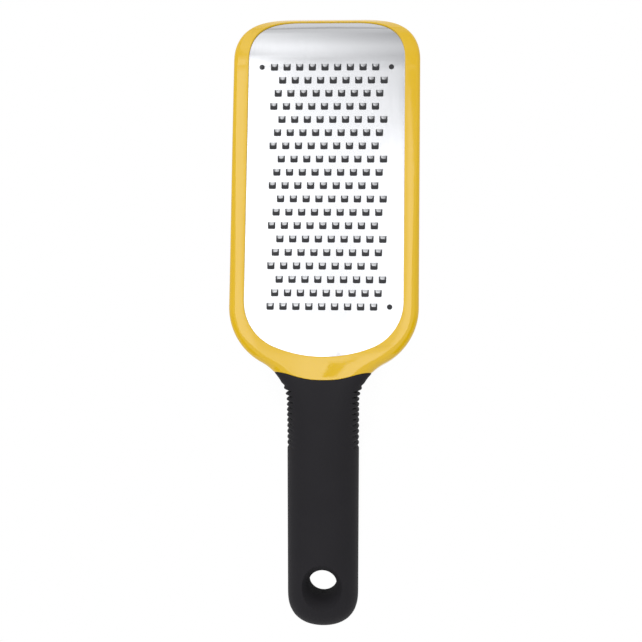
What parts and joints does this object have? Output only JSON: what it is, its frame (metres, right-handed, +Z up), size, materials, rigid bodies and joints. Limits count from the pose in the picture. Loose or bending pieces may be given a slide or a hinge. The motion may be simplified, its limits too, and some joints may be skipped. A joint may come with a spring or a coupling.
{
  "type": "hand grater",
  "caption": "Paddle-shaped hand grater: a perforated steel plate with raised teeth in a plastic frame that curls down at the tip, on a ribbed soft-grip handle with a hanging hole.",
  "frame": {"origin": "on the surface that the tool lies on, under the middle of its length and width", "axes": "+Y along the tool from the butt to the tip, +Z up out of the grating face, +X across the tool to the right as seen from above with the tip away from the viewer"},
  "size_m": [0.0766, 0.2536, 0.0337],
  "materials": {
    "frame": "glossy moulded",
    "plate": "bright polished",
    "core": "moulded",
    "grip": "matte soft touch",
    "foot": "matte"
  },
  "bodies": {
    "root": {"frame": "frame", "grating_plate": "plate", "handle_core": "core", "grip": "grip", "tip_foot": "foot"}
  },
  "joints": []
}
